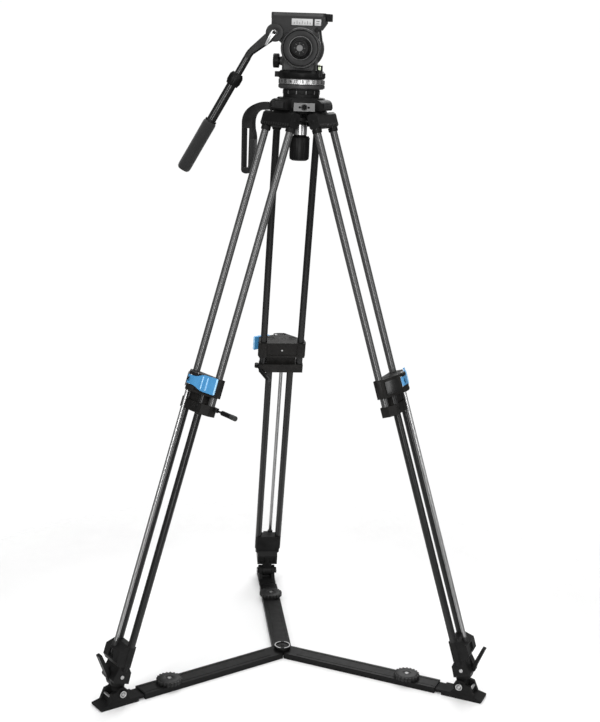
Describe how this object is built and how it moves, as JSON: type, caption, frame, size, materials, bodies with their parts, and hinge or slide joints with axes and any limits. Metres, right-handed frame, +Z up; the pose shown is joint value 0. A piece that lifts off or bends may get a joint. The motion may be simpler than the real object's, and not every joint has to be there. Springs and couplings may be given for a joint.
{
  "type": "video tripod with fluid head",
  "caption": "Video tripod with twin-tube telescoping legs, flip-lever locks, a ground spreader, a levelling ball, a fluid pan and tilt head and a bent pan bar.",
  "frame": {"origin": "on the axis of the tripod, at the height of the three soles", "axes": "+Z up; -Y towards the front between the left and right legs; +X to the right, where the lens points"},
  "size_m": [0.8167, 0.7538, 1.381],
  "materials": {
    "black_casting": "matt black textured paint on a die casting",
    "carbon_tube": "satin woven carbon fibre",
    "black_plastic": "matt black moulded plastic",
    "grey_metal": "satin grey paint",
    "scale_metal": "light grey anodised ring with dark marks",
    "bright_metal": "bright drawn aluminium",
    "blue_lever": "light blue moulded plastic",
    "grip_rubber": "black cellular rubber",
    "foot_rubber": "black ribbed rubber",
    "arm_metal": "black anodised extrusion"
  },
  "bodies": {
    "crown": {"crown": "black_casting", "carry_handle": "black_plastic"},
    "back_upper_leg": {"back_upper_tube_a": "carbon_tube", "back_upper_tube_b": "carbon_tube", "back_leg_yoke": "black_casting", "back_lock_housing": "black_casting", "back_clamp_block": "black_casting"},
    "back_quick_lever": {"back_quick_lever": "blue_lever"},
    "back_clamp_lever": {"back_clamp_lever": "black_plastic"},
    "back_mid_leg": {"back_mid_stage": "carbon_tube", "back_control_rod": "bright_metal"},
    "back_lower_leg": {"back_foot_stage": "black_casting"},
    "back_foot_lever": {"back_foot_lever": "black_plastic"},
    "back_foot": {"back_foot_pad": "foot_rubber"},
    "back_arm": {"back_spreader_arm": "arm_metal", "spreader_hub": "black_plastic"},
    "back_arm_knob": {"back_spreader_knob": "black_plastic"},
    "left_upper_leg": {"left_upper_tube_a": "carbon_tube", "left_upper_tube_b": "carbon_tube", "left_leg_yoke": "black_casting", "left_lock_housing": "black_casting", "left_clamp_block": "black_casting"},
    "left_quick_lever": {"left_quick_lever": "blue_lever"},
    "left_clamp_lever": {"left_clamp_lever": "black_plastic"},
    "left_mid_leg": {"left_mid_stage": "carbon_tube", "left_control_rod": "bright_metal"},
    "left_lower_leg": {"left_foot_stage": "black_casting"},
    "left_foot_lever": {"left_foot_lever": "black_plastic"},
    "left_foot": {"left_foot_pad": "foot_rubber"},
    "left_arm": {"left_spreader_arm": "arm_metal"},
    "left_arm_knob": {"left_spreader_knob": "black_plastic"},
    "right_upper_leg": {"right_upper_tube_a": "carbon_tube", "right_upper_tube_b": "carbon_tube", "right_leg_yoke": "black_casting", "right_lock_housing": "black_casting", "right_clamp_block": "black_casting"},
    "right_quick_lever": {"right_quick_lever": "blue_lever"},
    "right_clamp_lever": {"right_clamp_lever": "black_plastic"},
    "right_mid_leg": {"right_mid_stage": "carbon_tube", "right_control_rod": "bright_metal"},
    "right_lower_leg": {"right_foot_stage": "black_casting"},
    "right_foot_lever": {"right_foot_lever": "black_plastic"},
    "right_foot": {"right_foot_pad": "foot_rubber"},
    "right_arm": {"right_spreader_arm": "arm_metal"},
    "right_arm_knob": {"right_spreader_knob": "black_plastic"},
    "ball": {"ball_base": "black_casting", "scale_ring": "scale_metal"},
    "tiedown_knob": {"tiedown_knob": "black_plastic"},
    "pan_base": {"base_ring": "black_casting", "pan_housing": "grey_metal"},
    "pan_lock_knob": {"pan_lock_knob": "black_plastic"},
    "cradle": {"tilt_cradle": "grey_metal"},
    "plate": {"camera_plate": "black_casting"},
    "plate_lever": {"plate_lever": "black_plastic"},
    "tilt_drag_dial": {"tilt_drag_dial": "black_casting"},
    "counterbalance_dial": {"counterbalance_dial": "black_plastic"},
    "pan_bar": {"pan_bar": "black_casting"},
    "pan_bar_clamp_lever": {"pan_bar_clamp_lever": "bright_metal"},
    "pan_bar_collar": {"pan_bar_collar": "black_plastic"},
    "pan_grip": {"pan_grip": "grip_rubber"}
  },
  "joints": [
    {"name": "back_leg_spread", "type": "hinge", "parent": "crown", "child": "back_upper_leg", "pos_m": [-0.00566, 0.04968, 1.17], "axis": [0.9936, 0.1132, 0], "range_deg": [0, 11.9]},
    {"name": "back_quick_lever_flip", "type": "hinge", "parent": "back_upper_leg", "child": "back_quick_lever", "pos_m": [-0.02201, 0.24614, 0.6608], "axis": [-0.0344, 0.3019, -0.9527], "range_deg": [0, 70]},
    {"name": "back_clamp_lever_swing", "type": "hinge", "parent": "back_upper_leg", "child": "back_clamp_lever", "pos_m": [-0.08066, 0.21678, 0.60638], "axis": [0.0344, -0.3019, 0.9527], "range_deg": [-110, 0]},
    {"name": "back_mid_slide", "type": "slide", "parent": "back_upper_leg", "child": "back_mid_leg", "axis": [0.0344, -0.3019, 0.9527], "range_m": [0, 0.46]},
    {"name": "back_foot_slide", "type": "slide", "parent": "back_mid_leg", "child": "back_lower_leg", "axis": [0.0344, -0.3019, 0.9527], "range_m": [-0.44, 0]},
    {"name": "back_foot_lever_flip", "type": "hinge", "parent": "back_lower_leg", "child": "back_foot_lever", "pos_m": [-0.04965, 0.43575, 0.06691], "axis": [-0.9936, -0.1132, 0], "range_deg": [0, 60]},
    {"name": "back_foot_pivot", "type": "hinge", "parent": "back_lower_leg", "child": "back_foot", "pos_m": [-0.04689, 0.41158, 0.028], "axis": [0.9936, 0.1132, 0], "range_deg": [-11.9, 0]},
    {"name": "back_arm_slide", "type": "slide", "parent": "back_foot", "child": "back_arm", "axis": [0.1132, -0.9936, 0], "range_m": [0, 0.135]},
    {"name": "back_arm_knob_turn", "type": "hinge", "parent": "back_arm", "child": "back_arm_knob", "pos_m": [-0.03306, 0.29012, 0.02], "axis": [0, 0, 1], "range_deg": [0, 270]},
    {"name": "left_leg_spread", "type": "hinge", "parent": "crown", "child": "left_upper_leg", "pos_m": [-0.04019, -0.02974, 1.17], "axis": [-0.5948, 0.8039, 0], "range_deg": [0, 11.9]},
    {"name": "left_quick_lever_flip", "type": "hinge", "parent": "left_upper_leg", "child": "left_quick_lever", "pos_m": [-0.20216, -0.14213, 0.6608], "axis": [-0.2443, -0.1807, -0.9527], "range_deg": [0, 70]},
    {"name": "left_clamp_lever_swing", "type": "hinge", "parent": "left_upper_leg", "child": "left_clamp_lever", "pos_m": [-0.14741, -0.17824, 0.60638], "axis": [0.2443, 0.1807, 0.9527], "range_deg": [0, 110]},
    {"name": "left_mid_slide", "type": "slide", "parent": "left_upper_leg", "child": "left_mid_leg", "axis": [0.2443, 0.1807, 0.9527], "range_m": [0, 0.46]},
    {"name": "left_foot_slide", "type": "slide", "parent": "left_mid_leg", "child": "left_lower_leg", "axis": [0.2443, 0.1807, 0.9527], "range_m": [-0.44, 0]},
    {"name": "left_foot_lever_flip", "type": "hinge", "parent": "left_lower_leg", "child": "left_foot_lever", "pos_m": [-0.35254, -0.26087, 0.06691], "axis": [0.5948, -0.8039, 0], "range_deg": [0, 60]},
    {"name": "left_foot_pivot", "type": "hinge", "parent": "left_lower_leg", "child": "left_foot", "pos_m": [-0.33299, -0.2464, 0.028], "axis": [-0.5948, 0.8039, 0], "range_deg": [-11.9, 0]},
    {"name": "left_arm_slide", "type": "slide", "parent": "left_foot", "child": "left_arm", "axis": [0.8039, 0.5948, 0], "range_m": [0, 0.135]},
    {"name": "left_arm_knob_turn", "type": "hinge", "parent": "left_arm", "child": "left_arm_knob", "pos_m": [-0.23473, -0.17369, 0.02], "axis": [0, 0, 1], "range_deg": [0, 270]},
    {"name": "right_leg_spread", "type": "hinge", "parent": "crown", "child": "right_upper_leg", "pos_m": [0.04585, -0.01994, 1.17], "axis": [-0.3987, -0.9171, 0], "range_deg": [0, 11.9]},
    {"name": "right_quick_lever_flip", "type": "hinge", "parent": "right_upper_leg", "child": "right_quick_lever", "pos_m": [0.22416, -0.10401, 0.6608], "axis": [0.2787, -0.1212, -0.9527], "range_deg": [0, 70]},
    {"name": "right_clamp_lever_swing", "type": "hinge", "parent": "right_upper_leg", "child": "right_clamp_lever", "pos_m": [0.22807, -0.03854, 0.60638], "axis": [-0.2787, 0.1212, 0.9527], "range_deg": [-55, 55]},
    {"name": "right_mid_slide", "type": "slide", "parent": "right_upper_leg", "child": "right_mid_leg", "axis": [-0.2787, 0.1212, 0.9527], "range_m": [0, 0.46]},
    {"name": "right_foot_slide", "type": "slide", "parent": "right_mid_leg", "child": "right_lower_leg", "axis": [-0.2787, 0.1212, 0.9527], "range_m": [-0.44, 0]},
    {"name": "right_foot_lever_flip", "type": "hinge", "parent": "right_lower_leg", "child": "right_foot_lever", "pos_m": [0.40219, -0.17488, 0.06691], "axis": [0.3987, 0.9171, 0], "range_deg": [0, 60]},
    {"name": "right_foot_pivot", "type": "hinge", "parent": "right_lower_leg", "child": "right_foot", "pos_m": [0.37988, -0.16518, 0.028], "axis": [-0.3987, -0.9171, 0], "range_deg": [-11.9, 0]},
    {"name": "right_arm_slide", "type": "slide", "parent": "right_foot", "child": "right_arm", "axis": [-0.9171, 0.3987, 0], "range_m": [0, 0.135]},
    {"name": "right_arm_knob_turn", "type": "hinge", "parent": "right_arm", "child": "right_arm_knob", "pos_m": [0.26778, -0.11643, 0.02], "axis": [0, 0, 1], "range_deg": [0, 270]},
    {"name": "levelling", "type": "hinge", "parent": "crown", "child": "ball", "pos_m": [0, 0, 1.218], "axis": [0, -1, 0], "range_deg": [-7, 7]},
    {"name": "tiedown_turn", "type": "hinge", "parent": "ball", "child": "tiedown_knob", "pos_m": [0, 0, 1.12], "axis": [0, 0, 1], "range_deg": [0, 270]},
    {"name": "pan", "type": "hinge", "parent": "ball", "child": "pan_base", "pos_m": [0, 0, 1.25], "axis": [0, 0, 1], "continuous": true},
    {"name": "pan_lock_turn", "type": "hinge", "parent": "pan_base", "child": "pan_lock_knob", "pos_m": [-0.05171, 0.00543, 1.2875], "axis": [-0.9945, 0.1045, 0], "range_deg": [0, 180]},
    {"name": "tilt", "type": "hinge", "parent": "pan_base", "child": "cradle", "pos_m": [0, 0, 1.313], "axis": [0.1045, 0.9945, 0], "range_deg": [-18, 70]},
    {"name": "plate_slide", "type": "slide", "parent": "cradle", "child": "plate", "axis": [0.9945, -0.1045, 0], "range_m": [-0.04, 0]},
    {"name": "plate_lever_swing", "type": "hinge", "parent": "cradle", "child": "plate_lever", "pos_m": [0.04722, -0.02909, 1.373], "axis": [0, 0, -1], "range_deg": [0, 40]},
    {"name": "tilt_drag_turn", "type": "hinge", "parent": "cradle", "child": "tilt_drag_dial", "pos_m": [-0.00523, -0.04973, 1.313], "axis": [0.1045, 0.9945, 0], "range_deg": [0, 240]},
    {"name": "counterbalance_turn", "type": "hinge", "parent": "cradle", "child": "counterbalance_dial", "pos_m": [0.00523, 0.04973, 1.313], "axis": [0.1045, 0.9945, 0], "range_deg": [0, 240]},
    {"name": "pan_bar_angle", "type": "hinge", "parent": "cradle", "child": "pan_bar", "pos_m": [-0.05587, -0.03887, 1.341], "axis": [0.1045, 0.9945, 0], "range_deg": [0, 90]},
    {"name": "pan_bar_clamp_turn", "type": "hinge", "parent": "pan_bar", "child": "pan_bar_clamp_lever", "pos_m": [-0.05686, -0.04832, 1.341], "axis": [0.1045, 0.9945, 0], "range_deg": [-45, 60]},
    {"name": "pan_bar_collar_turn", "type": "hinge", "parent": "pan_grip", "child": "pan_bar_collar", "pos_m": [-0.13136, -0.03094, 1.25143], "axis": [-0.487, 0.0512, -0.8719], "range_deg": [0, 120]},
    {"name": "pan_bar_extension", "type": "slide", "parent": "pan_bar", "child": "pan_grip", "axis": [-0.487, 0.0512, -0.8719], "range_m": [0, 0.12]}
  ],
  "couplings": [
    {"joint": "back_leg_spread", "follows": "back_mid_slide", "rad_per_m": 0.44977},
    {"joint": "back_foot_pivot", "follows": "back_mid_slide", "rad_per_m": -0.44977},
    {"joint": "back_arm_slide", "follows": "back_foot_slide", "ratio": -0.30387},
    {"joint": "left_leg_spread", "follows": "back_mid_slide", "rad_per_m": 0.44977},
    {"joint": "left_foot_pivot", "follows": "back_mid_slide", "rad_per_m": -0.44977},
    {"joint": "left_mid_slide", "follows": "back_mid_slide", "ratio": 1},
    {"joint": "left_foot_slide", "follows": "back_foot_slide", "ratio": 1},
    {"joint": "left_arm_slide", "follows": "back_foot_slide", "ratio": -0.30387},
    {"joint": "right_leg_spread", "follows": "back_mid_slide", "rad_per_m": 0.44977},
    {"joint": "right_foot_pivot", "follows": "back_mid_slide", "rad_per_m": -0.44977},
    {"joint": "right_mid_slide", "follows": "back_mid_slide", "ratio": 1},
    {"joint": "right_foot_slide", "follows": "back_foot_slide", "ratio": 1},
    {"joint": "right_arm_slide", "follows": "back_foot_slide", "ratio": -0.30387}
  ]
}
